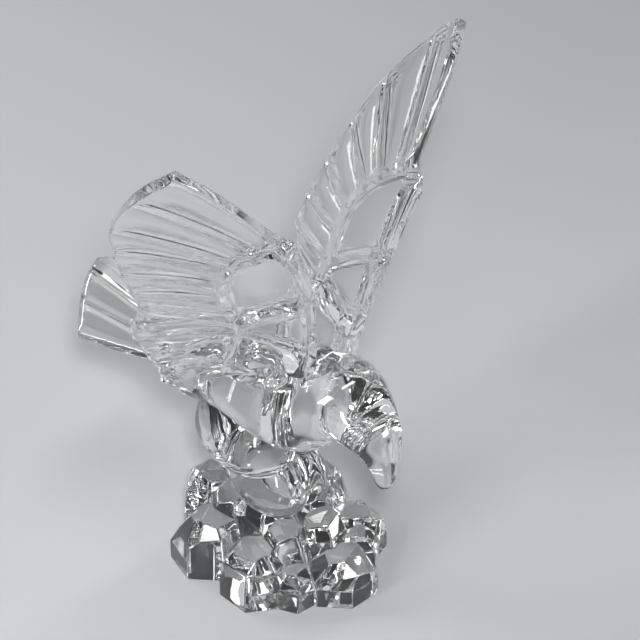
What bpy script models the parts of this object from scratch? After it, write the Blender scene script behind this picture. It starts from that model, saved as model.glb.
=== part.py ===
"""An eagle with raised wings on a cluster of rocks, cast as one piece of clear lead crystal.

The bird faces -Y, its left wing is at +X, and the origin is the middle of the flat underside.
All lengths are metres. The figure's own points are given in steps of one 240th of its height.
"""

import math

import bmesh
import bpy
import numpy as np

FIGURE_HEIGHT = 0.240
STEP = FIGURE_HEIGHT / 240

BASE_RADIUS = 0.044
BASE_TOP = 0.032
UNDERCUT_DEPTH = 0.006

BLADE_FRONT_THICKNESS = 0.0062
BLADE_BACK_THICKNESS = 0.0026
BLADE_TIP_THICKNESS = 0.0060
COVERT_RISE = 0.0016
COVERT_DISH = 0.0030
FLUTE_DEPTH = 0.0011
GROOVE_DEPTH = 0.0009
EDGE_CHAMFER = 0.0008

TAIL_THICKNESS = 0.0058
TAIL_GROOVE_DEPTH = 0.0012

# The left wing, in steps: x outwards, y back, z up. Its front edge is a Bezier curve.
FRONT_EDGE = ((33.4, -43.4, 195.0), (15.9, -44.4, 172.9), (10.0, -30.0, 113.0))
# Each line between two feathers, from the tip down: its end on the back edge, then on the coverts.
FEATHER_LINES = (
    ((72.4, -27.2, 240.0), (34.5, -40.0, 197.5)),
    ((76.5, -9.0, 224.5), (36.4, -31.0, 189.5)),
    ((70.3, 12.0, 197.5), (36.5, -20.0, 179.0)),
    ((61.5, 21.8, 176.0), (36.0, -13.0, 171.0)),
    ((53.3, 28.1, 157.0), (33.8, -7.0, 160.0)),
    ((46.0, 31.5, 142.0), (30.5, -5.0, 150.0)),
    ((40.5, 33.0, 129.0), (25.0, -6.0, 139.0)),
    ((40.0, 34.3, 119.0), (20.0, -2.5, 129.0)),
    ((34.5, 30.0, 105.5), (15.0, 3.5, 117.0)),
    ((27.5, 31.5, 92.0), (11.0, 8.0, 105.0)),
)
FEATHERS = len(FEATHER_LINES) - 1
LONG_FEATHERS = 6
LOBE_STEP, LOBE_WIDTH = (4.0, 0.6, -1.0), 0.3
LEADING_BOW = (3.1, -1.5, 6.0)
LEADING_ROLL = 0.24
SHOULDER_SWELL = 0.0075
BOW_FADE = 0.12
CAMBER = 1.6
ROOT_SINK = ((-5.0, 1.0, -12.0), (-5.0, 0.0, -12.0), (-15.0, -4.0, -14.0))

# Body, neck, head and beak, as rings from the rump forwards, in steps: the top of each ring
# as y and z, its bottom as y and z, and half its width.
BODY_RINGS = (
    (67.0, 87.5, 66.5, 81.0, 9.0),
    (56.0, 88.5, 55.0, 71.0, 14.0),
    (42.0, 91.5, 42.0, 61.5, 18.0),
    (26.0, 97.0, 27.0, 65.0, 19.5),
    (10.0, 104.0, 13.0, 67.0, 21.3),
    (-6.0, 110.0, -2.0, 67.0, 22.8),
    (-21.0, 116.0, -15.0, 68.5, 23.3),
    (-35.0, 119.5, -27.0, 73.5, 22.0),
    (-47.0, 118.0, -37.0, 82.5, 18.0),
    (-56.5, 111.5, -42.5, 88.5, 14.5),
    (-63.2, 103.5, -47.0, 89.0, 11.6),
    (-66.8, 96.0, -50.2, 87.3, 9.0),
    (-67.2, 88.5, -53.5, 84.5, 6.6),
    (-66.2, 81.5, -56.3, 79.5, 4.9),
    (-65.0, 77.0, -58.4, 76.3, 3.5),
    (-63.6, 74.2, -60.0, 73.6, 2.0),
)
RING_SIDES = 24

# Thigh and foot on the left side: centre and half sizes, in steps.
THIGH_PLACE, THIGH_SIZE, THIGH_TILT = (9.5, 8.0, 65.0), (16.5, 24.5, 19.0), math.radians(-6)
FOOT_PLACE, FOOT_SIZE = (4.5, 1.0, 42.5), (13.0, 21.0, 17.5)

# The tail fan, in steps.
TAIL_ROOT_Y, TAIL_ROOT_Z, TAIL_ROOT_HALF = 44.0, 81.0, 11.0
TAIL_END_Y, TAIL_END_Z, TAIL_END_HALF = 109.0, 89.0, 29.0
TAIL_SIDE_SETBACK, TAIL_SIDE_DROP = 21.0, 12.0
TAIL_FEATHERS = 5

# The rocks: (across, back, radius, top, turn), the first three as shares of the base's radius
# and the top as a share of the base's height.
ROCKS = (
    (-0.56, 0.34, 0.35, 0.80, 0.2),
    (-0.52, -0.26, 0.35, 0.74, 0.5),
    (-0.36, -0.62, 0.20, 0.52, 0.9),
    (0.06, -0.79, 0.33, 0.60, 0.1),
    (0.38, -0.62, 0.27, 0.60, 0.6),
    (0.53, -0.45, 0.33, 0.66, 0.3),
    (0.52, -0.01, 0.31, 1.00, 0.8),
    (0.55, 0.40, 0.33, 0.76, 0.1),
    (0.24, 0.68, 0.33, 0.84, 0.5),
    (-0.20, 0.66, 0.33, 0.97, 0.7),
    (-0.30, 0.34, 0.28, 0.95, 0.0),
    (-0.18, -0.32, 0.30, 0.86, 0.4),
    (0.14, -0.42, 0.30, 0.86, 0.2),
    (0.28, -0.20, 0.28, 0.94, 0.6),
    (0.26, 0.28, 0.34, 0.96, 0.3),
    (-0.02, 0.04, 0.46, 1.00, 0.5),
)
ROCK_SIDES = 6
BAND_TOP = 0.28


def clear_scene():
    """Removes what the startup scene holds."""
    for thing in list(bpy.data.objects):
        bpy.data.objects.remove(thing, do_unlink=True)


def bezier(controls, share):
    """The point at a share of a Bezier curve."""
    points = [np.array(point, float) for point in controls]
    while len(points) > 1:
        points = [a + (b - a) * share for a, b in zip(points, points[1:])]
    return points[0]


def add_form(name, points, faces):
    """A closed mesh object from points and faces, with its faces turned outwards."""
    mesh = bpy.data.meshes.new(name)
    mesh.from_pydata([tuple(point) for point in points], [], faces)
    shape = bmesh.new()
    shape.from_mesh(mesh)
    bmesh.ops.recalc_face_normals(shape, faces=shape.faces)
    shape.to_mesh(mesh)
    shape.free()
    form = bpy.data.objects.new(name, mesh)
    bpy.context.scene.collection.objects.link(form)
    return form


def slab(name, place, rows, columns):
    """A closed blade: place(row, column, side) gives each point, with side 1 and then -1."""
    points = [place(i, j, side) for side in (1, -1) for i in range(rows) for j in range(columns)]
    layer = rows * columns

    def at(i, j, side):
        return i * columns + j + side * layer

    faces = []
    for i in range(rows - 1):
        for j in range(columns - 1):
            corners = ((i, j), (i + 1, j), (i + 1, j + 1), (i, j + 1))
            faces.append([at(a, b, 0) for a, b in corners])
            faces.append([at(a, b, 1) for a, b in reversed(corners)])
    border = [(i, 0) for i in range(rows)]
    border += [(rows - 1, j) for j in range(1, columns)]
    border += [(i, columns - 1) for i in range(rows - 2, -1, -1)]
    border += [(0, j) for j in range(columns - 2, 0, -1)]
    for a, b in zip(border, border[1:] + border[:1]):
        faces.append([at(*b, 0), at(*a, 0), at(*a, 1), at(*b, 1)])
    return add_form(name, points, faces)


def spline(rows, place):
    """The point at a place counted in rows, on a Catmull-Rom curve through the rows."""
    table = np.array(rows, float)
    table = np.vstack([2 * table[0] - table[1], table, 2 * table[-1] - table[-2]])
    k = min(int(place), len(rows) - 2)
    p0, p1, p2, p3 = table[k : k + 4]
    t = place - k
    bend = (2 * p0 - 5 * p1 + 4 * p2 - p3) * t**2 + (3 * p1 - p0 - 3 * p2 + p3) * t**3
    return 0.5 * (2 * p1 + (p2 - p0) * t + bend)


def blade_surface(along, across):
    """The blade's surface: along runs 0 front edge, 1 coverts, 2 back edge; across counts feathers."""
    down = across / FEATHERS
    front = bezier(FRONT_EDGE, down)
    covert = spline([line[1] for line in FEATHER_LINES], across)
    back = spline([line[0] for line in FEATHER_LINES], across)
    if along <= 1:
        return (front + (covert - front) * along) * STEP
    share = along - 1
    bulge = 4 * share * (1 - share)
    point = covert + (back - covert) * share
    point += np.array(LEADING_BOW) * bulge * math.exp(-down / BOW_FADE)
    point += np.array((-1.0, 0.3, 0.2)) * CAMBER * bulge * min(1.0, 4 * down)
    point += np.array(LOBE_STEP) * share**2 * min(1.0, max(0.0, across - LONG_FEATHERS) / LOBE_WIDTH)
    return point * STEP


def blade_normal(along, across):
    """The direction out of the blade's upper side, which faces the other wing."""
    nudge = 0.02
    low, high = (1.001, 2.0) if along > 1 else (0.0, 1.0)
    outwards = blade_surface(min(along + nudge, high), across)
    outwards = outwards - blade_surface(max(along - nudge, low), across)
    downwards = blade_surface(along, min(across + nudge, FEATHERS))
    downwards = downwards - blade_surface(along, max(across - nudge, 0.0))
    normal = np.cross(outwards, downwards)
    return normal / np.linalg.norm(normal)


def blade_thickness(along, across):
    """The glass of the blade: thick in front and at the tip, thin behind."""
    thin = min(1.0, across / 3) ** 0.8
    back = BLADE_TIP_THICKNESS + (BLADE_BACK_THICKNESS - BLADE_TIP_THICKNESS) * thin
    share = max(0.0, along - 1)
    return BLADE_FRONT_THICKNESS + (back - BLADE_FRONT_THICKNESS) * share


def covert_relief(along, across, side):
    """The coverts stand proud on both sides. Below they hold a cup, and a channel under its rim."""
    rise = COVERT_RISE * min(1.0, along / 0.1)
    if side > 0:
        return rise
    rim, root = 4.5 + 1.6 * along, LONG_FEATHERS + 1.4
    if across < rim:
        down, depth = across / rim, COVERT_DISH
    else:
        down, depth = min(1.0, (across - rim) / (root - rim)), COVERT_DISH / 2
    hollow = math.sin(math.pi * min(1.0, along / 0.93)) * math.sin(math.pi * down)
    return rise - depth * max(0.0, hollow) ** 0.6


def shoulder(along, across):
    """How far the blade's underside swells out to the shoulder, from a slanting line downwards."""
    start = 7.4 - 0.75 * along + 2.6 * max(0.0, along - 0.95)
    down = min(1.0, max(0.0, across - start) / 1.3)
    inwards = min(1.0, 0.1 + along / 0.4) * (1 - 0.6 * max(0.0, along - 1))
    return SHOULDER_SWELL * math.sin(math.pi / 2 * down) * inwards


def feather_relief(along, across, side):
    """Hollow flutes between sharp ridges below the wing, and narrow grooves above it."""
    from_line = abs(across - round(across))
    fade = min(1.0, (2 - along) * 3 + 0.4) * min(1.0, along * 4)
    if side > 0:
        return -GROOVE_DEPTH * max(0.0, 1 - from_line / 0.13) * fade
    return -FLUTE_DEPTH * math.sin(math.pi * from_line) ** 0.7 * fade


def wing(name, mirror):
    """One wing as a blade, for mirror 1 on the left and -1 on the right."""
    alongs = [0.0, 0.08, 0.3, 0.55, 0.8, 0.93, 1.0, 1.05, 1.3, 1.6, 1.96, 2.0]
    acrosses = [0.0, 0.1]
    for feather in range(FEATHERS):
        acrosses += [feather + share for share in (0.3, 0.5, 0.7, 0.87, 1.0, 1.13)]
    acrosses = acrosses[:-1] + [FEATHERS + 1.0]

    def place(i, j, side):
        along, across = alongs[i], acrosses[j]
        held = min(across, FEATHERS)
        point = blade_surface(along, held)
        thickness = blade_thickness(along, held)
        above = thickness / 2 * (1 - max(0.0, along - 1) * min(1.0, held / 1.5))
        lift = above if side > 0 else thickness - above
        if side < 0:
            lift *= math.sqrt(1 - max(0.0, 1 - across / LEADING_ROLL) ** 2)
        if along in (0.0, 2.0) or across == 0.0:
            lift -= min(EDGE_CHAMFER, thickness / 4)
        if along <= 1:
            lift += covert_relief(along, held, side)
        elif 0 < across < FEATHERS:
            lift += feather_relief(along, across, side)
        point = point + blade_normal(along, held) * lift * side
        if side < 0 and across <= FEATHERS:
            point = point - blade_normal(0.5, across) * shoulder(along, across)
        if across > FEATHERS:
            sink = np.array([np.interp(along, (0, 1, 2), axis) for axis in zip(*ROOT_SINK)])
            point = point + sink * STEP
        return point * np.array((mirror, 1, 1))

    return slab(name, place, len(alongs), len(acrosses))


def tube(name, rings, sides):
    """A closed form through elliptical rings, each given by its top, its bottom and half its width."""
    points = []
    for top_y, top_z, bottom_y, bottom_z, half_width in rings:
        centre = np.array((0.0, top_y + bottom_y, top_z + bottom_z)) / 2
        rise = np.array((0.0, top_y - bottom_y, top_z - bottom_z)) / 2
        for n in range(sides):
            turn = 2 * math.pi * n / sides
            offset = np.array((half_width * math.cos(turn), 0.0, 0.0)) + rise * math.sin(turn)
            points.append((centre + offset) * STEP)
    faces = []
    for k in range(len(rings) - 1):
        for n in range(sides):
            m = (n + 1) % sides
            faces.append([k * sides + n, k * sides + m, (k + 1) * sides + m, (k + 1) * sides + n])
    last = (len(rings) - 1) * sides
    faces.append(list(range(sides)))
    faces.append(list(range(last, last + sides)))
    return add_form(name, points, faces)


def smooth_rings(rings, between):
    """More rings between the given ones, on a smooth curve through them."""
    steps = (len(rings) - 1) * between
    return [tuple(spline(rings, n / between)) for n in range(steps + 1)]


def egg(name, place, size, tilt, mirror):
    """A rounded mass of glass, such as a thigh or a foot."""
    rings, sides = 9, 16
    points = [(0.0, -1.0, 0.0)]
    for k in range(1, rings):
        slope = math.pi * k / rings
        for n in range(sides):
            turn = 2 * math.pi * n / sides
            across = math.sin(slope)
            points.append((across * math.cos(turn), -math.cos(slope), across * math.sin(turn)))
    points.append((0.0, 1.0, 0.0))
    faces = [[0, 1 + n, 1 + (n + 1) % sides] for n in range(sides)]
    for k in range(rings - 2):
        for n in range(sides):
            a, b = 1 + k * sides + n, 1 + k * sides + (n + 1) % sides
            faces.append([a, a + sides, b + sides, b])
    last, first = len(points) - 1, 1 + (rings - 2) * sides
    faces += [[last, first + (n + 1) % sides, first + n] for n in range(sides)]
    placed = []
    for x, y, z in points:
        x, y, z = x * size[0], y * size[1], z * size[2]
        y, z = y * math.cos(tilt) - z * math.sin(tilt), y * math.sin(tilt) + z * math.cos(tilt)
        placed.append(((x + place[0]) * mirror * STEP, (y + place[1]) * STEP, (z + place[2]) * STEP))
    return add_form(name, placed, faces)


def tail():
    """The tail fan: flat feathers side by side, its sides lower than its middle."""
    alongs = [0.0, 0.35, 0.7, 0.97, 1.0]
    acrosses = []
    for feather in range(TAIL_FEATHERS):
        acrosses += [feather + 0.001, feather + 0.12, feather + 0.88]
    acrosses += [TAIL_FEATHERS]
    half = TAIL_FEATHERS / 2

    def place(i, j, side):
        along, across = alongs[i], acrosses[j]
        aside = across / half - 1
        spread = TAIL_ROOT_HALF + (TAIL_END_HALF - TAIL_ROOT_HALF) * along
        y = TAIL_ROOT_Y + (TAIL_END_Y - TAIL_SIDE_SETBACK * abs(aside) ** 1.6 - TAIL_ROOT_Y) * along
        z = TAIL_ROOT_Z + (TAIL_END_Z - TAIL_ROOT_Z) * along
        z -= TAIL_SIDE_DROP * abs(aside) ** 1.3 * (0.4 + 0.6 * along)
        lift = TAIL_THICKNESS / 2
        from_edge = abs(across - round(across))
        if from_edge < 0.05 and 0.05 < across < TAIL_FEATHERS - 0.05:
            lift -= TAIL_GROOVE_DEPTH
        if along == 1.0:
            lift -= EDGE_CHAMFER
        return (aside * spread * STEP, y * STEP, z * STEP + lift * side)

    return slab("tail fan", place, len(alongs), len(acrosses))


def rock(name, across, back, radius, top, turn):
    """One faceted rock: an upright band at the floor, then slopes up to its own uneven top."""
    centre = np.array((across, back, 0.0)) * BASE_RADIUS
    reach = radius * BASE_RADIUS
    height = top * BASE_TOP
    band = BAND_TOP * BASE_TOP
    layers = ((-UNDERCUT_DEPTH, 1.0), (band, 1.0), (band + (height - band) * 0.55, 0.84), (height, 0.48))
    shape = bmesh.new()
    for k, (z, share) in enumerate(layers):
        for n in range(ROCK_SIDES):
            angle = 2 * math.pi * (n + turn) / ROCK_SIDES
            uneven = 1 + 0.07 * math.sin(2.6 * n + 9 * turn + (1.7 * k if k > 1 else 0))
            side = reach * share * uneven
            lean = 0.09 * height * math.cos(angle + 7 * turn) * (k > 1)
            shape.verts.new(centre + np.array((side * math.cos(angle), side * math.sin(angle), z + lean)))
    bmesh.ops.convex_hull(shape, input=shape.verts)
    loose = [vert for vert in shape.verts if not vert.link_faces]
    bmesh.ops.delete(shape, geom=loose, context="VERTS")
    bmesh.ops.recalc_face_normals(shape, faces=shape.faces)
    mesh = bpy.data.meshes.new(name)
    shape.to_mesh(mesh)
    shape.free()
    form = bpy.data.objects.new(name, mesh)
    bpy.context.scene.collection.objects.link(form)
    return form


def floor_cutter():
    """A block whose top is the floor, to cut the rocks off flat."""
    side = BASE_RADIUS * 3
    bpy.ops.mesh.primitive_cube_add(size=1, location=(0, 0, -side / 2))
    block = bpy.context.object
    block.name = "floor cutter"
    block.scale = (side, side, side)
    bpy.ops.object.transform_apply(location=True, rotation=True, scale=True)
    return block


def crystal():
    """Clear lead crystal."""
    material = bpy.data.materials.new("lead crystal")
    material.use_nodes = True
    shader = material.node_tree.nodes["Principled BSDF"]
    shader.inputs["Base Color"].default_value = (0.97, 0.98, 0.98, 1)
    shader.inputs["Roughness"].default_value = 0.02
    shader.inputs["IOR"].default_value = 1.545
    shader.inputs["Transmission Weight"].default_value = 1.0
    return material


def fuse(name, first, others, cutter):
    """Joins the forms into one body of glass and cuts it flat below."""
    group = bpy.data.collections.new("forms")
    bpy.context.scene.collection.children.link(group)
    for form in others:
        bpy.context.scene.collection.objects.unlink(form)
        group.objects.link(form)
    for helper in [*others, cutter]:
        helper.hide_render = True
        helper.display_type = "WIRE"
    join = first.modifiers.new("join the forms", "BOOLEAN")
    join.operand_type = "COLLECTION"
    join.collection = group
    join.operation = "UNION"
    cut = first.modifiers.new("cut the floor", "BOOLEAN")
    cut.object = cutter
    cut.operation = "DIFFERENCE"
    first.name = name
    first.data.materials.append(crystal())
    return first


def build():
    clear_scene()
    body = tube("body", smooth_rings(BODY_RINGS, 2), RING_SIDES)
    forms = [tail()]
    for side, mirror in (("left", 1), ("right", -1)):
        forms.append(wing(f"{side} wing", mirror))
        forms.append(egg(f"{side} thigh", THIGH_PLACE, THIGH_SIZE, THIGH_TILT, mirror))
        forms.append(egg(f"{side} foot", FOOT_PLACE, FOOT_SIZE, 0.0, mirror))
    forms += [rock(f"rock {k + 1}", *row) for k, row in enumerate(ROCKS)]
    fuse("crystal_eagle", body, forms, floor_cutter())


build()
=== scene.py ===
# %% [markdown]
# # A clear crystal eagle
#
# The real thing is one casting of lead crystal: an eagle with raised wings on a cluster of rocks,
# ground flat below and polished all over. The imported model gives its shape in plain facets. This
# lesson makes the fine surface, the glass and the light, and lets that surface stand for the one
# CAD node. Everything is in metres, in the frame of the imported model.

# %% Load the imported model
import math

import bmesh
import bpy
import numpy as np
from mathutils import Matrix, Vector


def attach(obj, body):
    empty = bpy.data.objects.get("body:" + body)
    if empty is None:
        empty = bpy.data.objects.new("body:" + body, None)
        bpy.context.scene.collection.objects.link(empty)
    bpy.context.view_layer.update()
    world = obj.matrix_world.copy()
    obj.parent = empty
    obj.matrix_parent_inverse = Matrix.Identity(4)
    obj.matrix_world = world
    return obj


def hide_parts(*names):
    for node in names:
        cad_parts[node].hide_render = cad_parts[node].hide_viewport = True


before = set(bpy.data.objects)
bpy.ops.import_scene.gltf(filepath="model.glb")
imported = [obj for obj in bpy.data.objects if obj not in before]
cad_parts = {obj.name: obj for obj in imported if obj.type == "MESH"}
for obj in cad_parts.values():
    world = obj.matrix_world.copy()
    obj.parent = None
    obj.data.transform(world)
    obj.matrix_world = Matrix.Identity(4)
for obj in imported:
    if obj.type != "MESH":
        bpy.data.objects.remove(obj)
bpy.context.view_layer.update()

MM = 0.001

# %% [markdown]
# ## Working by hand, in code
#
# Blender's operators act on whatever is selected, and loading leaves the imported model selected.
# So every step first selects nothing, and then only what it works on. The first helpers do that.
# The next ones finish a piece: they join, mirror or count it, turn its faces outwards, or add a
# modifier and apply it at once.


# %% Helpers for selecting
def clear_hands():
    """Leaves edit mode and selects nothing."""
    if bpy.context.mode != "OBJECT":
        bpy.ops.object.mode_set(mode="OBJECT")
    bpy.ops.object.select_all(action="DESELECT")


def take(*pieces):
    """Selects these pieces only, the first one active."""
    clear_hands()
    for piece in pieces:
        piece.select_set(True)
    bpy.context.view_layer.objects.active = pieces[0]


def edit_all(piece):
    """Opens a piece in edit mode with all of it selected."""
    take(piece)
    bpy.ops.object.mode_set(mode="EDIT")
    bpy.ops.mesh.select_all(action="SELECT")


def select_open_edges():
    """In edit mode, selects only the edges where the surface ends."""
    bpy.ops.mesh.select_all(action="DESELECT")
    bpy.ops.mesh.select_mode(type="EDGE")
    bpy.ops.mesh.select_non_manifold()


clear_hands()
print("helpers ready, nothing selected:", not bpy.context.selected_objects)


# %% Helpers for finishing a piece
def lay_down(*pieces):
    """Puts place, turn and scale into each piece's mesh, so that its object sits at the origin."""
    take(*pieces)
    bpy.ops.object.transform_apply(location=True, rotation=True, scale=True)
    return pieces[0]


def join_into(first, others):
    """One object from several."""
    take(first, *others)
    bpy.ops.object.join()
    return first


def turn_faces_out(piece):
    """Makes all faces of a closed piece point outwards."""
    edit_all(piece)
    bpy.ops.mesh.normals_make_consistent(inside=False)
    clear_hands()


def press(piece, kind, **settings):
    """Adds one modifier and applies it at once."""
    take(piece)
    modifier = piece.modifiers.new(kind.lower(), kind)
    for name, value in settings.items():
        setattr(modifier, name, value)
    bpy.ops.object.modifier_apply(modifier=modifier.name)


def mirrored(piece, name):
    """A copy on the other side of the bird, with its own mesh and its faces turned out."""
    take(piece)
    bpy.ops.object.duplicate()
    twin = bpy.context.object
    twin.name = name
    edit_all(twin)
    bpy.ops.transform.resize(value=(-1, 1, 1), center_override=(0, 0, 0))
    turn_faces_out(twin)
    return twin


def counted(piece):
    """Prints how many triangles a piece has."""
    triangles = sum(len(face.vertices) - 2 for face in piece.data.polygons)
    print(f"{piece.name}: {triangles} triangles")


print("finishing helpers ready")

# %% [markdown]
# ## The lines of a wing
#
# A wing is a blade of glass that hangs from three lines: the front edge from the wrist down to the
# shoulder, the row where the coverts end, and the outer edge of the feathers. The lines between
# the feathers cross from the second to the third. All are given in millimetres for the left wing,
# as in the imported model: x outwards, y back, z up. The front edge is a Bezier curve, and the other
# two are smooth curves through the ends of the feather lines.

# %% The measured lines
FRONT_EDGE = ((33.4, -43.4, 195.0), (15.9, -44.4, 172.9), (10.0, -30.0, 113.0))
# The outer end of each line, and its end at the coverts, from the tip of the wing down.
FEATHER_LINES = (
    ((72.4, -27.2, 240.0), (34.5, -40.0, 197.5)),
    ((76.5, -9.0, 224.5), (36.4, -31.0, 189.5)),
    ((70.3, 12.0, 197.5), (36.5, -20.0, 179.0)),
    ((61.5, 21.8, 176.0), (36.0, -13.0, 171.0)),
    ((53.3, 28.1, 157.0), (33.8, -7.0, 160.0)),
    ((46.0, 31.5, 142.0), (30.5, -5.0, 150.0)),
    ((40.5, 33.0, 129.0), (25.0, -6.0, 139.0)),
    ((40.0, 34.3, 119.0), (20.0, -2.5, 129.0)),
    ((34.5, 30.0, 105.5), (15.0, 3.5, 117.0)),
    ((27.5, 31.5, 92.0), (11.0, 8.0, 105.0)),
)
FEATHERS = len(FEATHER_LINES) - 1
LONG_FEATHERS = 6


def bezier(controls, share):
    """Points at shares of a Bezier curve."""
    points = [np.array(point, float) for point in controls]
    while len(points) > 1:
        points = [a + (b - a) * share[..., None] for a, b in zip(points, points[1:])]
    return points[0]


def curve_through(rows, place):
    """Points on a smooth curve through the rows, at places counted in rows."""
    table = np.array(rows, float)
    table = np.vstack([2 * table[0] - table[1], table, 2 * table[-1] - table[-2]])
    k = np.clip(place.astype(int), 0, len(rows) - 2)
    t = (place - k)[..., None]
    p0, p1, p2, p3 = (table[k + n] for n in range(4))
    bend = (2 * p0 - 5 * p1 + 4 * p2 - p3) * t**2 + (3 * p1 - p0 - 3 * p2 + p3) * t**3
    return 0.5 * (2 * p1 + (p2 - p0) * t + bend)


def step_up(value, low, high):
    """0 below low, 1 above high, and a smooth ramp between."""
    t = np.clip((value - low) / (high - low), 0, 1)
    return t * t * (3 - 2 * t)


print("wing lines:", FEATHERS, "feathers, the tip at", FEATHER_LINES[0][0], "mm")

# %% [markdown]
# ## The sheet between the lines
#
# `along` runs from 0 at the front edge to 1 where the coverts end and 2 at the feathers' outer
# edge, and `across` counts feathers from the tip down. Two such numbers give a point on the
# blade. The feathers bow between their ends, most of all the first, and the short feathers jut
# out past the long ones. The glass is laid on both sides of the sheet, so the direction out of it
# is needed too, and it is measured by moving a little each way.

# %% The sheet and its direction
TIP_BOW, FEATHER_BOW, SHORT_JUT = (3.1, -1.5, 6.0), (-1.6, 0.48, 0.32), (4.0, 0.6, -1.0)
TIP_BOW_SHARE, SHORT_JUT_WIDTH = 0.12, 0.3


def blade_sheet(along, across):
    """Points on the middle of the blade, in millimetres."""
    down = across / FEATHERS
    front = bezier(FRONT_EDGE, down)
    covert = curve_through([line[1] for line in FEATHER_LINES], across)
    back = curve_through([line[0] for line in FEATHER_LINES], across)
    near = np.clip(along, 0, 1)[..., None]
    share = np.clip(along - 1, 0, 1)[..., None]
    point = front + (covert - front) * near + (back - covert) * share
    bow = 4 * share * (1 - share)
    point = point + np.array(TIP_BOW) * bow * np.exp(-down / TIP_BOW_SHARE)[..., None]
    point = point + np.array(FEATHER_BOW) * bow * np.clip(4 * down, 0, 1)[..., None]
    short = np.clip((across - LONG_FEATHERS) / SHORT_JUT_WIDTH, 0, 1)[..., None]
    return point + np.array(SHORT_JUT) * share**2 * short


def blade_direction(along, across, nudge=0.02):
    """The direction out of the side that faces the other wing."""
    low = np.where(along > 1, 1.001, 0.0)
    high = np.where(along > 1, 2.0, 1.0)
    outwards = blade_sheet(np.minimum(along + nudge, high), across)
    outwards = outwards - blade_sheet(np.maximum(along - nudge, low), across)
    downwards = blade_sheet(along, np.minimum(across + nudge, FEATHERS))
    downwards = downwards - blade_sheet(along, np.maximum(across - nudge, 0.0))
    normal = np.cross(outwards, downwards)
    return normal / np.linalg.norm(normal, axis=-1, keepdims=True)


def feather_width(along, across, nudge=0.05):
    """How many millimetres wide one feather is at that place."""
    ahead = blade_sheet(along, np.minimum(across + nudge, FEATHERS))
    behind = blade_sheet(along, np.maximum(across - nudge, 0.0))
    span = np.minimum(across + nudge, FEATHERS) - np.maximum(across - nudge, 0.0)
    return np.linalg.norm(ahead - behind, axis=-1) / span


def sheet_length(low, high, across):
    """How many millimetres lie between two values of along, straight over."""
    ones = np.ones_like(across)
    ends = blade_sheet(high * ones, across) - blade_sheet(low * ones, across)
    return np.linalg.norm(ends, axis=-1)


middle = blade_sheet(np.array([1.5]), np.array([3.0]))[0]
print("middle of the blade at", np.round(middle, 1), "mm")

# %% [markdown]
# ## The carving of the feathers
#
# The mould was carved on both sides. Above, a narrow channel with round ends runs between each
# two feathers. Below, the feathers are wide hollow flutes that meet in thin ridges. The relief is
# given in millimetres out of the blade, and the ridges and channels keep their width in
# millimetres while the feathers widen.

# %% Flutes below, channels above
FLUTE_DEPTH, RIDGE_WIDTH = 1.9, 0.42
CHANNEL_DEPTH, CHANNEL_WIDTH = 0.9, 2.5
CHANNEL_START, CHANNEL_END = (1.06, 1.14), (1.86, 1.95)


def off_feather_line(along, across):
    """How many millimetres a place is from the nearest line between feathers."""
    return np.abs(across - np.round(across)) * feather_width(along, across)


def flutes(along, across):
    """Hollow flutes with rounded ridges, below the wing."""
    soft = np.sqrt(off_feather_line(along, across) ** 2 + RIDGE_WIDTH**2) - RIDGE_WIDTH
    arch = np.sin(np.pi * np.clip(soft / feather_width(along, across), 0, 0.5)) ** 0.7
    fade = np.minimum(1.0, (2 - along) * 3 + 0.4)
    return -FLUTE_DEPTH * arch * fade


def channels(along, across):
    """Narrow channels with round ends, above the wing."""
    off_line = off_feather_line(along, across)
    bottom = 1 - step_up(off_line, CHANNEL_WIDTH * 0.28, CHANNEL_WIDTH * 0.5)
    ends = step_up(along, *CHANNEL_START) * (1 - step_up(along, *CHANNEL_END))
    return -CHANNEL_DEPTH * bottom * ends


print("relief: flutes", FLUTE_DEPTH, "mm, channels", CHANNEL_DEPTH, "mm")

# %% [markdown]
# ## The carving of the coverts
#
# Above, the coverts are a smooth raised panel. Below, they hold a deep cup inside a slanting rim,
# then a smooth trough, and then the blade swells out to the shoulder. A cup is made from the
# distance to its nearest edge: the surface drops at once beside the rim and is level at the
# bottom. Where two edges are close, the two distances are blended, so that the corner is round.

# %% Cup, trough and shoulder
COVERT_RISE, CUP_DEPTH, TROUGH_DEPTH = 1.6, 4.0, 1.8
RIM_WIDTH, CUP_REACH, TROUGH_REACH = 1.6, 4.5, 4.0
CUP_BLEND, TROUGH_BLEND = 1.8, 1.2
SHOULDER_SWELL = 7.5
# Where the rim and the shoulder start, and how long the shoulder's rise is, in feathers.
RIM_START, RIM_SLANT = 4.5, 1.6
SHOULDER_START, SHOULDER_SLANT, SHOULDER_HOOK, SHOULDER_RISE = 7.4, 0.75, 2.6, 1.3


def hollow(distance, reach):
    """0 on the rim of a bowl and 1 at its bottom, from the distance to its edge."""
    inside = np.clip((distance - RIM_WIDTH) / reach, 0, 1)
    return np.sqrt(1 - (1 - inside) ** 2)


def soft_least(distances, blend):
    """The least of several distances, rounded where two are close."""
    total = sum(np.exp(-distance / blend) for distance in distances)
    return -blend * np.log(total)


def shoulder_start(along):
    """The slanting line, in feathers from the tip, where the shoulder begins."""
    return SHOULDER_START - SHOULDER_SLANT * along + SHOULDER_HOOK * np.maximum(0.0, along - 0.95)


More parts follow.
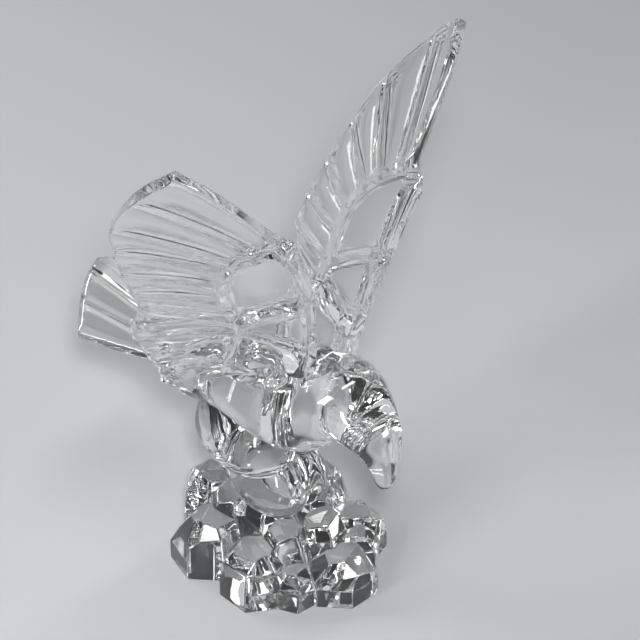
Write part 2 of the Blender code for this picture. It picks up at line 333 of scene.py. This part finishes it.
def covert_panel(along, across, side):
    """The coverts stand proud of the feathers, and below they hold a cup and a trough."""
    rise = COVERT_RISE * np.minimum(1.0, along / 0.06) * (1 - step_up(along, 1.0, 1.06))
    if side > 0:
        return rise
    feather = feather_width(along, across)
    covert_length = sheet_length(0, 1, across)
    from_front, from_back = along * covert_length, (1 - along) * covert_length
    rim = RIM_START + RIM_SLANT * along
    from_rim = (rim - across) * feather
    from_line = (shoulder_start(along) - across) * feather
    in_cup = soft_least((from_front, from_back, from_rim, across * feather), CUP_BLEND)
    in_trough = soft_least((from_front, from_back, -from_rim, from_line), TROUGH_BLEND)
    cup, trough = hollow(in_cup, CUP_REACH), hollow(in_trough, TROUGH_REACH)
    return rise - CUP_DEPTH * cup - TROUGH_DEPTH * trough


def shoulder(along, across):
    """How far the underside swells out to the shoulder, from a slanting line downwards."""
    down = np.clip((across - shoulder_start(along)) / SHOULDER_RISE, 0, 1)
    inwards = np.minimum(1.0, 0.1 + along / 0.4) * (1 - 0.6 * np.maximum(0.0, along - 1))
    return SHOULDER_SWELL * np.sin(math.pi / 2 * down) * inwards


print("relief: coverts", COVERT_RISE, "mm, cup", CUP_DEPTH, "mm, trough", TROUGH_DEPTH, "mm")

# %% [markdown]
# ## The edges of a wing
#
# The blade is thick at the front edge and the tip, and thin where the feathers end. Its edges are
# rounded, and the tip rolls over in a wider curve. Where the long feathers give way to the short
# ones, the edge has a step. Beside it the underside rises in a low wall and falls away in a small
# slanting facet, which flashes in the light.

# %% Thickness, rounding and the facet at the step
FRONT_THICKNESS, TIP_THICKNESS, BACK_THICKNESS = 6.2, 6.0, 2.6
EDGE_RADIUS, ROLL_WIDTH = 0.9, 6.0
NOTCH_WIDTH, NOTCH_RISE, NOTCH_FALL = 7.0, 2.2, 0.8
# Where the feathers start to thin, and over how many of them, counted from the tip.
THIN_START, THIN_SPAN = 0.7, 2.3
# Over how many feathers from the tip their ends come to lie below the sheet.
TIP_SPAN = 1.5


def rounding(distance, radius):
    """How far a rounded edge falls away at a distance from it."""
    inside = np.clip(1 - distance / radius, 0, 1)
    return radius * (1 - np.sqrt(1 - inside**2))


def wing_thickness(along, across):
    """Millimetres of glass: even over the coverts, then thinner towards the feathers' ends."""
    thin = np.clip((across - THIN_START) / THIN_SPAN, 0, 1) ** 0.8
    back_edge = TIP_THICKNESS + (BACK_THICKNESS - TIP_THICKNESS) * thin
    return FRONT_THICKNESS + (back_edge - FRONT_THICKNESS) * np.clip(along - 1, 0, 1)


def notch(along, across, from_back):
    """How far the underside rises beside the step in the edge, and falls over its facet."""
    beyond = across - LONG_FEATHERS
    inwards = np.clip((along - 1.2) / 0.5, 0, 1)
    wall = NOTCH_RISE * np.interp(beyond, (-0.4, 0.3, 1.4), (0, 1, 0)) * inwards
    facet = np.interp(beyond, (0, 0.3, 0.95), (0, 1, 0))
    fall = np.clip(1 - from_back / (NOTCH_WIDTH * facet + 0.1), 0, 1)
    return wall, (wall + NOTCH_FALL) * facet * fall


print("wing:", FRONT_THICKNESS, "mm thick in front,", BACK_THICKNESS, "mm at the feathers' ends")

# %% [markdown]
# ## Grids to lay on a surface
#
# A carved blade could be sculpted from a cube, or cut from a curve. Here every point of the
# surface is known, so a flat grid is the better start: one grid for the upper side and one for the
# lower, each point moved to its place, and their borders bridged into a rounded edge. The rows
# are close together at the edges and at each feather's line, where the surface turns quickly.


# %% Helpers for grids
def feather_columns(feathers, half):
    """Places of the columns over a row of feathers, from those over half a feather."""
    whole = half + [1 - share for share in half[-2:0:-1]]
    return [feather + share for feather in range(feathers) for share in whole] + [feathers]


def lay_grid(name, rows, columns):
    """A flat grid, and the row's and the column's value at each of its points."""
    clear_hands()
    bpy.ops.mesh.primitive_grid_add(
        x_subdivisions=len(rows) - 1, y_subdivisions=len(columns) - 1, size=1, location=(0, 0, 0)
    )
    sheet = bpy.context.object
    sheet.name = name
    flat = np.zeros(len(sheet.data.vertices) * 3)
    sheet.data.vertices.foreach_get("co", flat)
    flat = flat.reshape(-1, 3)
    along = rows[np.rint((flat[:, 0] + 0.5) * (len(rows) - 1)).astype(int)]
    across = columns[np.rint((flat[:, 1] + 0.5) * (len(columns) - 1)).astype(int)]
    return sheet, along, across


def move_points(sheet, points):
    """Moves a grid's points to places given in millimetres."""
    sheet.data.vertices.foreach_set("co", (points * MM).ravel())
    sheet.data.update()
    return sheet


def bridge_borders(piece):
    """Closes a piece made of two sheets, by bridging their open borders."""
    edit_all(piece)
    select_open_edges()
    bpy.ops.mesh.bridge_edge_loops()
    turn_faces_out(piece)


print("grid helpers ready")

# %% [markdown]
# ## The wings
#
# One side of a wing is a grid with its relief. The last column is sunk into the body, so that the
# union later finds one form inside the other. The underside must not come through the upper side,
# or the wing would be inside out there, so all the relief together is shallower than the glass.
# The right wing is the left one mirrored.

# %% Two sheets for a wing
FRONT_ROWS = [0, 0.008, 0.018, 0.03, 0.06, *np.linspace(0.1, 0.98, 23)]
BACK_ROWS = [1, 1.02, 1.04, 1.06, 1.09, 1.13, 1.2, 1.3, 1.4, 1.5, 1.6, 1.7]
END_ROWS = [1.79, 1.86, 1.9, 1.94, 1.965, 1.98, 1.99, 2]
HALF_FEATHER = [0, 0.014, 0.028, 0.042, 0.06, 0.085, 0.12, 0.17, 0.23, 0.3, 0.4, 0.5]
# How far the sunk column lies from the last line, in front, where the coverts end, at the end.
SUNK_BY = ((-5, 1, -12), (-5, 0, -12), (-15, -4, -14))


def wing_side(name, side):
    """One side of the left wing, 1 above and -1 below."""
    rows = np.array(FRONT_ROWS + BACK_ROWS + END_ROWS, float)
    columns = np.array(feather_columns(FEATHERS, HALF_FEATHER) + [FEATHERS + 1], float)
    sheet, along, across = lay_grid(name, rows, columns)
    held = np.minimum(across, FEATHERS)
    on_feathers = (along > 1) & (held > 0)

    thickness = wing_thickness(along, held)
    above = thickness / 2 * (1 - np.clip(along - 1, 0, 1) * np.minimum(1.0, held / TIP_SPAN))
    from_front = along * sheet_length(0, 1, held)
    from_back = (2 - along) * sheet_length(1, 2, held)
    from_tip = held * feather_width(along, held)
    from_edge = np.minimum(np.minimum(from_front, from_back), from_tip)
    if side > 0:
        lift = above + np.where(on_feathers, channels(along, held), 0)
    else:
        roll = np.sqrt(1 - np.clip(1 - from_tip / ROLL_WIDTH, 0, 1) ** 2)
        lift = (thickness - above) * roll + np.where(on_feathers, flutes(along, held), 0)
        wall, fall = notch(along, held, from_back)
        lift = lift + wall - fall
    lift = lift + covert_panel(along, held, side)
    lift = lift - rounding(from_edge, np.minimum(EDGE_RADIUS, thickness * 0.34))

    point = blade_sheet(along, held) + blade_direction(along, held) * (lift * side)[:, None]
    if side < 0:
        outwards = blade_direction(np.full_like(held, 0.5), held) * shoulder(along, held)[:, None]
        point = point - outwards * (across <= FEATHERS)[:, None]
    sunk = np.array([np.interp(along, (0, 1, 2), axis) for axis in zip(*SUNK_BY)]).T
    point = point + sunk * (across > FEATHERS)[:, None]
    return move_points(sheet, point)


left_wing = join_into(wing_side("left wing", 1), [wing_side("left wing below", -1)])
bridge_borders(left_wing)
right_wing = mirrored(left_wing, "right wing")
counted(left_wing)

# %% [markdown]
# ## The body, from the rump to the beak
#
# The body, neck and head are one smooth swelling. It is lofted: circles are set along the bird
# like the frames of a boat, each with its own height, width and tilt, and then bridged. Each
# frame is given by the y and z of its top, those of its bottom, and half its width.

# %% Frames of the body
BODY_FRAMES = (
    (67.0, 87.5, 66.5, 81.0, 9.0),
    (56.0, 88.5, 55.0, 71.0, 14.0),
    (42.0, 91.5, 42.0, 61.5, 18.0),
    (26.0, 97.0, 27.0, 65.0, 19.5),
    (10.0, 104.0, 13.0, 67.0, 21.3),
    (-6.0, 110.0, -2.0, 67.0, 22.8),
    (-21.0, 116.0, -15.0, 68.5, 23.3),
    (-35.0, 119.5, -27.0, 73.5, 22.0),
    (-47.0, 118.0, -37.0, 82.5, 18.0),
    (-56.5, 111.5, -42.5, 88.5, 14.5),
    (-63.2, 103.5, -47.0, 89.0, 11.6),
    (-66.8, 96.0, -50.2, 87.3, 9.0),
    (-67.2, 88.5, -53.5, 84.5, 6.6),
    (-66.4, 81.5, -56.2, 79.5, 5.1),
    (-65.8, 77.4, -58.0, 76.2, 4.1),
    (-64.9, 75.1, -59.3, 74.2, 3.0),
    (-63.2, 73.4, -60.8, 73.0, 1.4),
)
FRAMES_BETWEEN, BODY_SIDES = 6, 80


def loft(name, frames, sides):
    """Circles at the frames, bridged and closed at both ends."""
    hoops = []
    for top_y, top_z, bottom_y, bottom_z, half_width in frames:
        clear_hands()
        bpy.ops.mesh.primitive_circle_add(vertices=sides, radius=1)
        hoop = bpy.context.object
        rise = Vector((0, top_y - bottom_y, top_z - bottom_z)) * MM / 2
        hoop.location = Vector((0, top_y + bottom_y, top_z + bottom_z)) * MM / 2
        hoop.rotation_euler = (math.atan2(rise.z, rise.y), 0, 0)
        hoop.scale = (half_width * MM, rise.length, 1)
        hoops.append(hoop)
    shape = join_into(lay_down(*hoops), hoops[1:])
    shape.name = name
    edit_all(shape)
    bpy.ops.mesh.bridge_edge_loops()
    select_open_edges()
    bpy.ops.mesh.fill_holes(sides=0)
    turn_faces_out(shape)
    return shape


last_frame = len(BODY_FRAMES) - 1
stations = np.linspace(0, last_frame, last_frame * FRAMES_BETWEEN + 1)
body = loft("body", curve_through(BODY_FRAMES, stations), BODY_SIDES)
counted(body)

# %% [markdown]
# ## Thighs and feet
#
# Below the body sit two pairs of rounded masses of glass, the thighs and the feet. Each is a
# sphere that is stretched and tilted, and it is sunk deep in its neighbours, so that only its
# rounded side shows.


# %% Rounded masses
def mass_of_glass(name, place, size, tilt):
    """A stretched sphere: its middle, half its sizes in millimetres, and its tilt in degrees."""
    clear_hands()
    bpy.ops.mesh.primitive_uv_sphere_add(segments=64, ring_count=40, radius=1)
    mass = bpy.context.object
    mass.name = name
    mass.location = Vector(place) * MM
    mass.rotation_euler = (math.radians(tilt), 0, 0)
    mass.scale = Vector(size) * MM
    return lay_down(mass)


thigh = mass_of_glass("left thigh", place=(9.5, 8.0, 65.0), size=(16.5, 24.5, 19.0), tilt=-6)
foot = mass_of_glass("left foot", place=(4.5, 1.0, 42.5), size=(13.0, 21.0, 17.5), tilt=0)
legs = [thigh, foot, mirrored(thigh, "right thigh"), mirrored(foot, "right foot")]
print("rounded masses:", [mass.name for mass in legs])

# %% [markdown]
# ## The rocks
#
# The base is a cluster of blocky crystals, each with an upright band at the floor and slopes
# above it. One block starts as a six-sided cylinder. Its upper face is extruded and drawn in
# twice, the corners are pushed about by a rule, and the convex hull operator pulls flat facets
# over them. Then planes shave it: one tilts its top, and two cut broad slopes on its outer side.
# A bevel rounds the edges, which is what catches the light on real cast crystal.

# %% Where the rocks stand, and their proportions
BASE_RADIUS, BASE_TOP, UNDERCUT, BAND_TOP = 44.0, 32.0, 6.0, 0.28
BLOCK_SIDES, SLOPE_BREAK, DRAWN_IN = 6, 0.55, (1.0, 1.0, 0.84, 0.48)
EDGE_ROUND, TOP_CUT, TOP_TILT = 2.1, 0.5, 14
# How far corners are pushed about: sideways as a share of the reach, up as a share of the height.
UNEVEN, LEAN = 0.07, 0.09
# Blocks further out than this share of the base's radius are shaved on their outer side.
OUTER_BLOCKS = 0.45
# Swing from straight outwards in radians, share of the reach, millimetres below the top, tilt in
# degrees.
OUTER_SLOPES = ((0.0, 0.35, 1.0, 38), (1.2, 0.6, 4.0, 55))
# Across, back and radius as shares of the base's radius, top as a share of its height, turn.
BLOCKS = (
    (-0.56, 0.34, 0.35, 0.80, 0.2),
    (-0.52, -0.26, 0.35, 0.74, 0.5),
    (-0.36, -0.62, 0.20, 0.52, 0.9),
    (0.06, -0.79, 0.33, 0.60, 0.1),
    (0.38, -0.62, 0.27, 0.60, 0.6),
    (0.53, -0.45, 0.33, 0.66, 0.3),
    (0.52, -0.01, 0.31, 1.00, 0.8),
    (0.55, 0.40, 0.33, 0.76, 0.1),
    (0.24, 0.68, 0.33, 0.84, 0.5),
    (-0.20, 0.66, 0.33, 0.97, 0.7),
    (-0.30, 0.34, 0.28, 0.95, 0.0),
    (-0.18, -0.32, 0.30, 0.86, 0.4),
    (0.14, -0.42, 0.30, 0.86, 0.2),
    (0.28, -0.20, 0.28, 0.94, 0.6),
    (0.26, 0.28, 0.34, 0.96, 0.3),
    (-0.02, 0.04, 0.46, 1.00, 0.5),
)
print("blocks to cut:", len(BLOCKS))


# %% One block with facets
def shave(place, azimuth, tilt):
    """Cuts all that lies beyond a plane off the shape in edit mode, and closes the cut."""
    level = math.sin(tilt)
    facing = (math.cos(azimuth) * level, math.sin(azimuth) * level, math.cos(tilt))
    bpy.ops.mesh.select_all(action="SELECT")
    bpy.ops.mesh.bisect(plane_co=place * MM, plane_no=facing, use_fill=True, clear_outer=True)


def stacked_cylinder(name):
    """A cylinder with three storeys, each one metre high, left open in edit mode."""
    clear_hands()
    bpy.ops.mesh.primitive_cylinder_add(
        vertices=BLOCK_SIDES, radius=1, depth=1, location=(0, 0, 0.5)
    )
    shape = lay_down(bpy.context.object)
    shape.name = name
    edit_all(shape)
    bpy.ops.mesh.select_all(action="DESELECT")
    bpy.ops.mesh.select_mode(type="FACE")
    cage = bmesh.from_edit_mesh(shape.data)
    for face in cage.faces:
        face.select_set(face.normal.z > 0.9)
    bmesh.update_edit_mesh(shape.data)
    for _ in range(2):
        bpy.ops.mesh.extrude_region_move(TRANSFORM_OT_translate={"value": (0, 0, 1)})
    return shape


def place_corners(shape, centre, reach, height, turn):
    """Moves the corners of a stacked cylinder to a block's levels, and pushes them about."""
    band = BAND_TOP * BASE_TOP
    levels = (-UNDERCUT, band, band + (height - band) * SLOPE_BREAK, height)
    cage = bmesh.from_edit_mesh(shape.data)
    for corner in cage.verts:
        k = round(corner.co.z)
        n = round(math.atan2(corner.co.x, corner.co.y) / (2 * math.pi) * BLOCK_SIDES) % BLOCK_SIDES
        angle = 2 * math.pi * (n + turn) / BLOCK_SIDES
        uneven = 1 + UNEVEN * math.sin(2.6 * n + 9 * turn + (1.7 * k if k > 1 else 0))
        side = reach * DRAWN_IN[k] * uneven
        lean = LEAN * height * math.cos(angle + 7 * turn) * (k > 1)
        place = Vector((side * math.cos(angle), side * math.sin(angle), levels[k] + lean))
        corner.co = (place + centre) * MM
    bmesh.update_edit_mesh(shape.data)


def block(name, across, back, radius, top, turn):
    """One rock, with a tilted top and, if it stands far out, two broad slopes."""
    height, reach = top * BASE_TOP, radius * BASE_RADIUS
    centre = Vector((across, back, 0)) * BASE_RADIUS
    shape = stacked_cylinder(name)
    place_corners(shape, centre, reach, height, turn)
    bpy.ops.mesh.select_all(action="SELECT")
    bpy.ops.mesh.convex_hull()
    top_middle = centre + Vector((0, 0, height - TOP_CUT))
    shave(top_middle, 11 * turn + 5 * across, math.radians(TOP_TILT))
    if math.hypot(across, back) > OUTER_BLOCKS:
        for swing, reach_share, below, tilt in OUTER_SLOPES:
            azimuth = math.atan2(back, across) + swing * (-1) ** round(10 * turn)
            azimuth = azimuth + 0.5 * math.sin(23 * turn)
            outwards = Vector((math.cos(azimuth), math.sin(azimuth), 0))
            place = centre + outwards * reach * reach_share + Vector((0, 0, height - below))
            shave(place, azimuth, math.radians(tilt))
    bpy.ops.mesh.select_all(action="SELECT")
    bpy.ops.mesh.dissolve_limited(angle_limit=math.radians(4))
    turn_faces_out(shape)
    return shape


rocks = [block(f"rock {k + 1}", *row) for k, row in enumerate(BLOCKS)]
sharp_only = {"limit_method": "ANGLE", "angle_limit": math.radians(12)}
for rock in rocks:
    press(rock, "BEVEL", width=EDGE_ROUND * MM, segments=3, **sharp_only)
print("rocks:", len(rocks))

# %% [markdown]
# ## The tail fan
#
# The tail is a thick plate of five flat feathers, parted by grooves, and its sides hang lower
# than its middle. A broad bevel runs round its end and sides, which shows as a bright line. It is
# made as the wings are, from two grids.

# %% Tail feathers
TAIL_FEATHERS, TAIL_HALF_THICKNESS = 5, 2.9
# Half the width, then y and z, at the root and at the end, and how the outermost sides differ.
TAIL_ROOT_HALF, TAIL_END_HALF = 11, 29
TAIL_ROOT_Y, TAIL_END_Y, TAIL_SIDES_SHORTER = 44, 109, 21
TAIL_ROOT_Z, TAIL_END_Z, TAIL_SIDES_LOWER = 81, 89, 12
# The length over which the distance to the end is counted, and the relief.
TAIL_SLANT_LENGTH = 60
TAIL_GROOVE, TAIL_GROOVE_SIDES = 1.2, (0.15, 1.1)
TAIL_BEVEL, TAIL_BEVEL_WIDTH, TAIL_EDGE_RADIUS = 1.3, 2.6, 0.5
TAIL_ROWS = [0, 0.2, 0.4, 0.6, 0.8, 0.9, 0.945, 0.957, 0.975, 0.99, 0.996, 1.0]
HALF_TAIL_FEATHER = [0, 0.02, 0.045, 0.07, 0.1, 0.18, 0.23, 0.5]


def tail_side(name, side):
    """One side of the tail fan, 1 above and -1 below."""
    columns = np.array(feather_columns(TAIL_FEATHERS, HALF_TAIL_FEATHER))
    sheet, along, across = lay_grid(name, np.array(TAIL_ROWS), columns)
    aside = across / (TAIL_FEATHERS / 2) - 1
    spread = TAIL_ROOT_HALF + (TAIL_END_HALF - TAIL_ROOT_HALF) * along
    end_y = TAIL_END_Y - TAIL_SIDES_SHORTER * np.abs(aside) ** 1.6
    y = TAIL_ROOT_Y + (end_y - TAIL_ROOT_Y) * along
    hang = TAIL_SIDES_LOWER * np.abs(aside) ** 1.3 * (0.4 + 0.6 * along)
    z = TAIL_ROOT_Z + (TAIL_END_Z - TAIL_ROOT_Z) * along - hang

    width = 2 * spread / TAIL_FEATHERS
    off_line = np.abs(across - np.round(across)) * width
    inner = (across > 0.5) & (across < TAIL_FEATHERS - 0.5)
    groove = TAIL_GROOVE * (1 - step_up(off_line, *TAIL_GROOVE_SIDES)) * inner
    from_side = np.minimum(across, TAIL_FEATHERS - across) * width
    edge = np.minimum((1 - along) * TAIL_SLANT_LENGTH, from_side)
    bevel = TAIL_BEVEL * np.clip(1 - edge / TAIL_BEVEL_WIDTH, 0, 1)
    lift = TAIL_HALF_THICKNESS - groove - bevel - rounding(edge, TAIL_EDGE_RADIUS)
    return move_points(sheet, np.stack([aside * spread, y, z + lift * side], axis=-1))


tail = join_into(tail_side("tail fan", 1), [tail_side("tail fan below", -1)])
bridge_borders(tail)
counted(tail)

# %% [markdown]
# ## One closed surface
#
# Light bends wherever it crosses a surface, so glass must have no walls inside it. A union of all
# the forms removes what lies within. Then a block takes off what is below the floor, as the
# grinding wheel does.

# %% Join the forms
parts = [*legs, *rocks, left_wing, right_wing, tail]
casting = body
casting.name = "crystal_eagle_glass"
group = bpy.data.collections.new("forms")
bpy.context.scene.collection.children.link(group)
for part in parts:
    for owner in list(part.users_collection):
        owner.objects.unlink(part)
    group.objects.link(part)
union = {"operation": "UNION", "operand_type": "COLLECTION", "collection": group}
press(casting, "BOOLEAN", solver="MANIFOLD", **union)
for part in parts:
    bpy.data.objects.remove(part, do_unlink=True)
bpy.data.collections.remove(group)
counted(casting)

# %% Grind the underside flat
WHEEL_SIZE = 0.2
clear_hands()
bpy.ops.mesh.primitive_cube_add(size=WHEEL_SIZE, location=(0, 0, -WHEEL_SIZE / 2))
wheel = lay_down(bpy.context.object)
press(casting, "BOOLEAN", operation="DIFFERENCE", solver="MANIFOLD", object=wheel)
bpy.data.objects.remove(wheel, do_unlink=True)
lowest = min(corner.co.z for corner in casting.data.vertices)
print("lowest point, mm:", round(lowest / MM, 3))

# %% [markdown]
# ## Cleaning the mesh
#
# Where forms cross, the union leaves corners that all but touch, so these are merged. That can
# fold a thin sliver back on a face. Such a flap ends in a corner with only two edges, and goes
# when those corners are dissolved. Then the surface is shaded smooth, with sharp lines where it
# bends by more than an angle. Normals weighted by area keep the rocks' facets flat, so that each
# bevel shows as a bright line between them.

# %% Merge corners, fold flaps away and shade
MERGE_WITHIN, SMOOTH_BELOW = 0.02, 38


def fold_flaps_away(piece):
    """Dissolves the corners with only two edges, among them the tips of folded slivers."""
    edit_all(piece)
    bpy.ops.mesh.select_mode(type="VERT")
    bpy.ops.mesh.select_all(action="DESELECT")
    mesh = bmesh.from_edit_mesh(piece.data)
    corners = [corner for corner in mesh.verts if len(corner.link_edges) == 2]
    for corner in corners:
        corner.select_set(True)
    mesh.select_flush_mode()
    bmesh.update_edit_mesh(piece.data)
    bpy.ops.mesh.dissolve_verts()
    clear_hands()
    print("corners dissolved:", len(corners))


edit_all(casting)
bpy.ops.mesh.remove_doubles(threshold=MERGE_WITHIN * MM)
fold_flaps_away(casting)
edit_all(casting)
bpy.ops.mesh.delete_loose()
select_open_edges()
clear_hands()
print("open edges:", sum(edge.select for edge in casting.data.edges))
take(casting)
bpy.ops.object.shade_smooth_by_angle(angle=math.radians(SMOOTH_BELOW))
press(casting, "WEIGHTED_NORMAL", mode="FACE_AREA", weight=50, keep_sharp=True)
counted(casting)

# %% [markdown]
# ## Crystal
#
# Lead crystal is clear, bends light more than window glass, and here it is polished all over.
# Its colour, gloss and bending power are the same everywhere, so they are plain numbers on the
# shader. Only the faint unevenness of a casting varies, as a soft bump.


# %% A socket that can be used in sums
class Wire:
    """An output socket. Sums and products of wires add Math nodes."""

    def __init__(self, finish, socket):
        self.finish, self.socket = finish, socket

    def worked_out(self, operation, first, second):
        return self.finish.node("ShaderNodeMath", {"operation": operation}, {0: first, 1: second})

    def __add__(self, other):
        return self.worked_out("ADD", self, other)

    def __radd__(self, other):
        return self.worked_out("ADD", other, self)

    def __mul__(self, other):
        return self.worked_out("MULTIPLY", self, other)

    def __rmul__(self, other):
        return self.worked_out("MULTIPLY", other, self)


class Finish:
    """A material, and one method that adds any node to it."""

    def __init__(self, name):
        self.material = bpy.data.materials.new(name)
        self.material.use_nodes = True
        self.tree = self.material.node_tree
        self.shader = self.tree.nodes["Principled BSDF"]

    def node(self, kind, settings=None, values=None, output=0):
        """Adds a node, its settings first and then its sockets, and gives one of its outputs."""
        made = self.tree.nodes.new(kind)
        for name, value in (settings or {}).items():
            setattr(made, name, value)
        self.feed(made, values or {})
        return Wire(self, made.outputs[output])

    def feed(self, node, values):
        """Links the wires to a node's sockets, and sets the plain values on them."""
        for name, value in values.items():
            if isinstance(value, Wire):
                self.tree.links.new(value.socket, node.inputs[name])
            else:
                node.inputs[name].default_value = value


print("ready: one class for sockets, one for materials")

# %% [markdown]
# ## The crystal's own numbers
#
# A casting is never as even as a ground lens. Noise in two sizes stands for that, swells of a
# couple of centimetres and ripples of a few millimetres, added up as heights of well under a
# millimetre. The finished piece then stands for the CAD node, rides on its body and fills its
# material slot.

# %% Clear lead crystal
SWELL_SCALE, RIPPLE_SCALE = 60.0, 240.0
SWELL_SHARE, RIPPLE_SHARE = 0.8, 0.2
BUMP_STRENGTH, BUMP_HEIGHT = 0.35, 0.0004

crystal = Finish("clear lead crystal")
crystal.feed(
    crystal.shader,
    {
        "Base Color": (0.985, 0.99, 0.99, 1),
        "Roughness": 0.0,
        "IOR": 1.545,
        "Transmission Weight": 1.0,
    },
)
soft_noise = {
    "Vector": crystal.node("ShaderNodeTexCoord", output="Object"),
    "Detail": 1.0,
    "Roughness": 0.4,
}
swell = crystal.node("ShaderNodeTexNoise", values={**soft_noise, "Scale": SWELL_SCALE})
ripple = crystal.node("ShaderNodeTexNoise", values={**soft_noise, "Scale": RIPPLE_SCALE})
unevenness = {
    "Height": swell * SWELL_SHARE + ripple * RIPPLE_SHARE,
    "Strength": BUMP_STRENGTH,
    "Distance": BUMP_HEIGHT,
}
crystal.feed(crystal.shader, {"Normal": crystal.node("ShaderNodeBump", values=unevenness)})
casting.data.materials.clear()
casting.data.materials.append(crystal.material)
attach(casting, "root")
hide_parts("crystal_eagle")
print("crystal:", len(crystal.tree.nodes), "nodes")

# %% [markdown]
# ## Floor
#
# The figure stands on a plain pale floor. It is a light grey, because on a white one the white
# edges of the glass would be lost. It lies a hair below the ground underside, since two surfaces
# at one height show as specks.

# %% A disc of pale paper
FLOOR_REACH, FLOOR_GAP = 4.0, 0.0003
PALE_GREY = (0.35, 0.355, 0.36, 1)
clear_hands()
bpy.ops.mesh.primitive_circle_add(
    vertices=96, radius=FLOOR_REACH, fill_type="NGON", location=(0, 0, -FLOOR_GAP)
)
floor = lay_down(bpy.context.object)
floor.name = "studio_floor"
paper = Finish("pale studio paper")
paper.feed(paper.shader, {"Base Color": PALE_GREY, "Roughness": 0.7, "Specular IOR Level": 0.2})
floor.data.materials.append(paper.material)
print("floor:", floor.name)

# %% [markdown]
# ## Light
#
# Clear glass has no shade of its own, and shows the room bent and mirrored. Lamps of moderate
# size give the white lines along its edges, and a dim room behind them gives the dark ones. Two
# low lamps are a little cool, as daylight is. Light crosses many faces in such a piece, so it may
# go on for more bounces than usual.


# %% Lamps and the room
def softbox(name, place, aim, size, power, colour=(1, 1, 1)):
    """A rectangular lamp at a place, aimed at a point, with its size in metres and its watts."""
    lamp = bpy.data.lights.new(name, "AREA")
    lamp.shape = "RECTANGLE"
    lamp.size, lamp.size_y = size
    lamp.energy = power
    lamp.color = colour
    box = bpy.data.objects.new(name, lamp)
    bpy.context.scene.collection.objects.link(box)
    box.location = place
    box.rotation_euler = (Vector(aim) - Vector(place)).to_track_quat("-Z", "Y").to_euler()


COOL_WHITE = (0.93, 0.96, 1.0)
softbox("key", (-0.72, -0.86, 1.15), (0, 0, 0.1), (0.16, 0.16), 24)
softbox("back", (-0.4, 1.0, 0.75), (0, 0, 0.12), (0.7, 0.2), 10)
softbox("rim", (0.7, 0.7, 0.8), (0, 0, 0.12), (0.3, 0.6), 0.8)
softbox("side", (-1.1, 0.1, 0.9), (0, 0, 0.12), (0.2, 0.6), 7)
softbox("top", (0.1, 0.0, 1.5), (0, 0, 0.1), (0.12, 0.9), 6)
softbox("low left", (-1.0, -0.5, 0.35), (0, 0, 0.05), (0.1, 0.5), 3, COOL_WHITE)
softbox("low right", (0.3, -1.1, 0.4), (0, 0, 0.05), (0.5, 0.1), 3, COOL_WHITE)
world = bpy.data.worlds.new("studio")
world.use_nodes = True
room = world.node_tree.nodes["Background"]
room.inputs["Color"].default_value = (0.55, 0.56, 0.58, 1)
room.inputs["Strength"].default_value = 0.07
bpy.context.scene.world = world
bpy.context.scene.cycles.max_bounces = 24
bpy.context.scene.cycles.transmission_bounces = 24
bpy.context.scene.cycles.glossy_bounces = 12
bpy.context.scene.view_settings.view_transform = "Standard"
print("lights:", [lamp.name for lamp in bpy.data.lights])

# %% [markdown]
# ## Camera
#
# The photograph is taken from in front of the bird and to its right, about 39 degrees above the
# floor, with a long lens that keeps near and far parts at nearly one scale.

# %% A long lens at the photograph's angle
LENS, SENSOR_WIDTH = 180, 36
LOOK_AT, DISTANCE = Vector((0.0125856, -0.0119462, 0.1205339)), 1.2469
BACK_WAY = Vector((-0.5380, -0.5668, 0.6239)).normalized()

camera_data = bpy.data.cameras.new("camera")
camera_data.lens = LENS
camera_data.sensor_width = SENSOR_WIDTH
camera = bpy.data.objects.new("camera", camera_data)
bpy.context.scene.collection.objects.link(camera)
camera.location = LOOK_AT + BACK_WAY * DISTANCE
camera.rotation_mode = "QUATERNION"
camera.rotation_quaternion = (-BACK_WAY).to_track_quat("-Z", "Y")
bpy.context.scene.camera = camera
print("camera:", [round(x, 3) for x in camera.location])

# %% [markdown]
# ## Finish
#
# At the end nothing is left selected.

# %% Select nothing
clear_hands()
